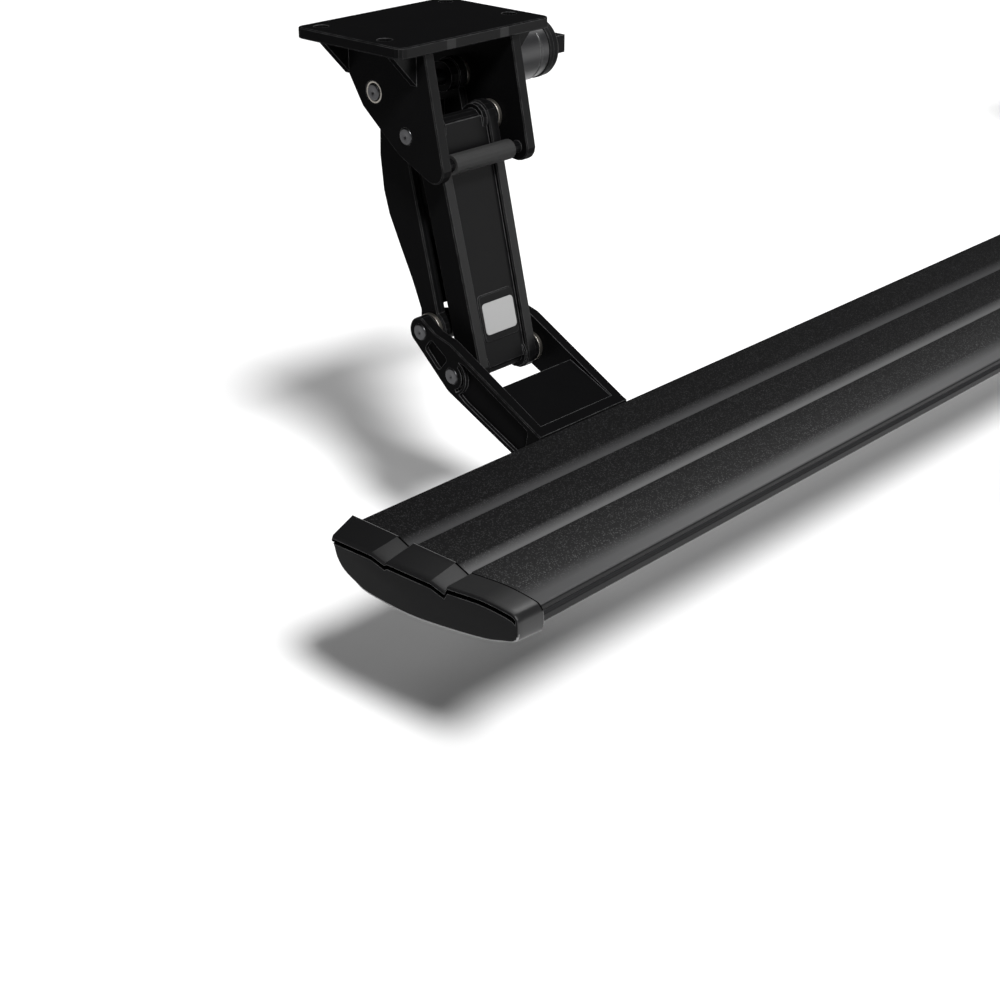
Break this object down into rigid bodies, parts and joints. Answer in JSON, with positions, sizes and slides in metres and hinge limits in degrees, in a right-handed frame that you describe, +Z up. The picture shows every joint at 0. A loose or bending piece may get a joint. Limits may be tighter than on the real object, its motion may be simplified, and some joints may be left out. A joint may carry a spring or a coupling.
{
  "type": "power running board",
  "caption": "Motor-driven step for the side of a vehicle: a long ribbed tread on parallel-arm linkages that swings down and outboard, shown lowered.",
  "frame": {"origin": "centre of the front mount bracket's plate, on its upper face, where it meets the vehicle", "axes": "+X along the board to the end away from the motor's linkage, +Y inboard under the vehicle, +Z up"},
  "size_m": [1.9518, 0.405, 0.3055],
  "materials": {
    "black_extrusion": "black textured powder coat",
    "black_plastic": "fine grained, satin",
    "black_casting": "black coated casting",
    "grey_casting": "bare die casting",
    "motor_paint": "semi-gloss",
    "steel": "machined",
    "zinc": "zinc plated",
    "bronze": "sintered, grey brown",
    "rubber": "matt"
  },
  "bodies": {
    "mounts": {"mount_bracket_front": "black_casting", "mount_bracket_rear": "black_casting", "pin_upper_outer_front": "steel", "pin_upper_outer_rear": "steel", "pin_upper_inner_rear": "steel", "shaft_bush_a": "bronze", "shaft_bush_b": "bronze", "stop_bumper_front": "rubber", "stop_bumper_rear": "rubber", "gearbox_housing": "grey_casting", "motor_can": "motor_paint", "motor_end_cover": "black_plastic", "motor_socket": "black_plastic", "motor_screw_1": "zinc", "motor_screw_2": "zinc", "motor_screw_3": "zinc"},
    "front_inner_arm": {"inner_arm_front": "black_casting", "drive_shaft": "steel", "sector_gear": "steel", "bush_lower_inner_front_a": "bronze", "bush_lower_inner_front_b": "bronze"},
    "front_outer_arm": {"outer_arm_front": "black_casting", "bush_lower_outer_front_a": "bronze", "bush_lower_outer_front_b": "bronze", "bush_upper_outer_front_a": "bronze", "bush_upper_outer_front_b": "bronze"},
    "rear_inner_arm": {"inner_arm_rear": "black_casting", "bush_lower_inner_rear_a": "bronze", "bush_lower_inner_rear_b": "bronze", "bush_upper_inner_rear_a": "bronze", "bush_upper_inner_rear_b": "bronze"},
    "rear_outer_arm": {"outer_arm_rear": "black_casting", "bush_lower_outer_rear_a": "bronze", "bush_lower_outer_rear_b": "bronze", "bush_upper_outer_rear_a": "bronze", "bush_upper_outer_rear_b": "bronze"},
    "step": {"running_board": "black_extrusion", "end_cap_front": "black_plastic", "end_cap_rear": "black_plastic", "step_bracket_front": "black_casting", "step_bracket_rear": "black_casting", "strip_nut_front_inboard": "zinc", "strip_nut_front_outboard": "zinc", "strip_nut_rear_inboard": "zinc", "strip_nut_rear_outboard": "zinc", "bracket_bolt_front_1": "zinc", "bracket_bolt_front_2": "zinc", "bracket_bolt_front_3": "zinc", "bracket_bolt_front_4": "zinc", "bracket_bolt_rear_1": "zinc", "bracket_bolt_rear_2": "zinc", "bracket_bolt_rear_3": "zinc", "bracket_bolt_rear_4": "zinc", "pin_lower_inner_front": "steel", "pin_lower_inner_rear": "steel", "pin_lower_outer_front": "steel", "pin_lower_outer_rear": "steel"},
    "pinion": {"motor_pinion": "steel"}
  },
  "joints": [
    {"name": "front_inner_pivot", "type": "hinge", "parent": "mounts", "child": "front_inner_arm", "pos_m": [0, 0.007, -0.043], "axis": [1, 0, 0], "range_deg": [0, 84]},
    {"name": "board_pivot", "type": "hinge", "parent": "front_inner_arm", "child": "step", "pos_m": [0, -0.03534, -0.2128], "axis": [1, 0, 0], "range_deg": [-84, 0]},
    {"name": "front_outer_pivot", "type": "hinge", "parent": "mounts", "child": "front_outer_arm", "pos_m": [0, -0.025, -0.069], "axis": [1, 0, 0], "range_deg": [0, 84]},
    {"name": "rear_inner_pivot", "type": "hinge", "parent": "mounts", "child": "rear_inner_arm", "pos_m": [1.456, 0.007, -0.043], "axis": [1, 0, 0], "range_deg": [0, 84]},
    {"name": "rear_outer_pivot", "type": "hinge", "parent": "mounts", "child": "rear_outer_arm", "pos_m": [1.456, -0.025, -0.069], "axis": [1, 0, 0], "range_deg": [0, 84]},
    {"name": "pinion_spin", "type": "hinge", "parent": "mounts", "child": "pinion", "pos_m": [0, 0.04836, -0.05029], "axis": [1, 0, 0], "range_deg": [-210, 0]}
  ],
  "couplings": [
    {"joint": "board_pivot", "follows": "front_inner_pivot", "ratio": -1},
    {"joint": "front_outer_pivot", "follows": "front_inner_pivot", "ratio": 1},
    {"joint": "rear_inner_pivot", "follows": "front_inner_pivot", "ratio": 1},
    {"joint": "rear_outer_pivot", "follows": "front_inner_pivot", "ratio": 1},
    {"joint": "pinion_spin", "follows": "front_inner_pivot", "ratio": -2.5}
  ]
}
